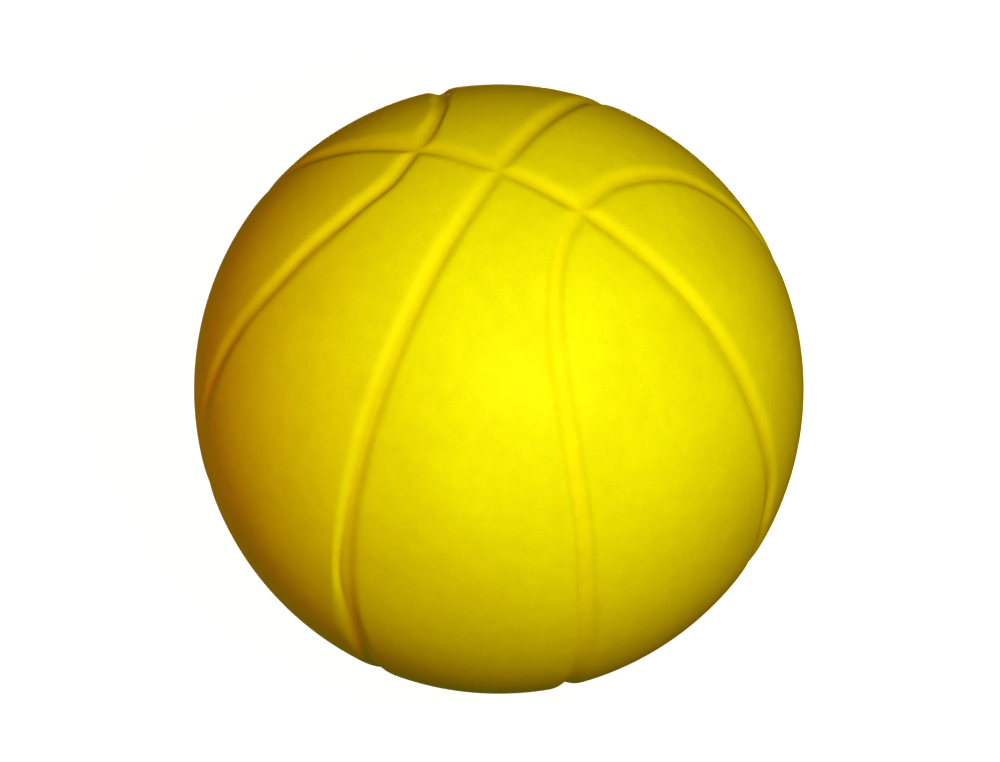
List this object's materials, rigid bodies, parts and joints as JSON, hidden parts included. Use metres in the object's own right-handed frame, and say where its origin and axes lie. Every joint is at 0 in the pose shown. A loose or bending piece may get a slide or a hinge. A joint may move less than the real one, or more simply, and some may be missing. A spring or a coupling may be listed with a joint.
{
  "type": "playground ball",
  "caption": "Inflated moulded rubber playground ball with panels parted by shallow sunken channels, and a needle valve set in one channel.",
  "frame": {"origin": "centre of the ball", "axes": "+Y out through the valve, +Z through the top pole where the two ring seams cross, +X through the middle of the right-hand oval"},
  "size_m": [0.2158, 0.2158, 0.2158],
  "materials": {
    "cover": "satin yellow rubber with a fine moulded grain",
    "channel": "satin yellow rubber, a little more orange than the cover",
    "carcass": "matte rubber",
    "winding": "wound nylon thread set in latex",
    "bladder": "matte butyl rubber",
    "valve": "satin rubber",
    "valve_core": "matte natural rubber"
  },
  "bodies": {
    "root": {"front_right_panel": "cover", "front_left_panel": "cover", "back_right_panel": "cover", "back_left_panel": "cover", "right_end_panel_front": "cover", "right_end_panel_back": "cover", "left_end_panel_front": "cover", "left_end_panel_back": "cover", "ring_channel": "channel", "front_middle_channel": "channel", "channel_above_valve": "channel", "channel_below_valve": "channel", "right_oval_channel_front": "channel", "right_oval_channel_back": "channel", "left_oval_channel_front": "channel", "left_oval_channel_back": "channel", "carcass": "carcass", "winding": "winding", "bladder": "bladder", "valve_pad": "bladder", "valve_stem": "valve", "valve_core": "valve_core"}
  },
  "joints": []
}
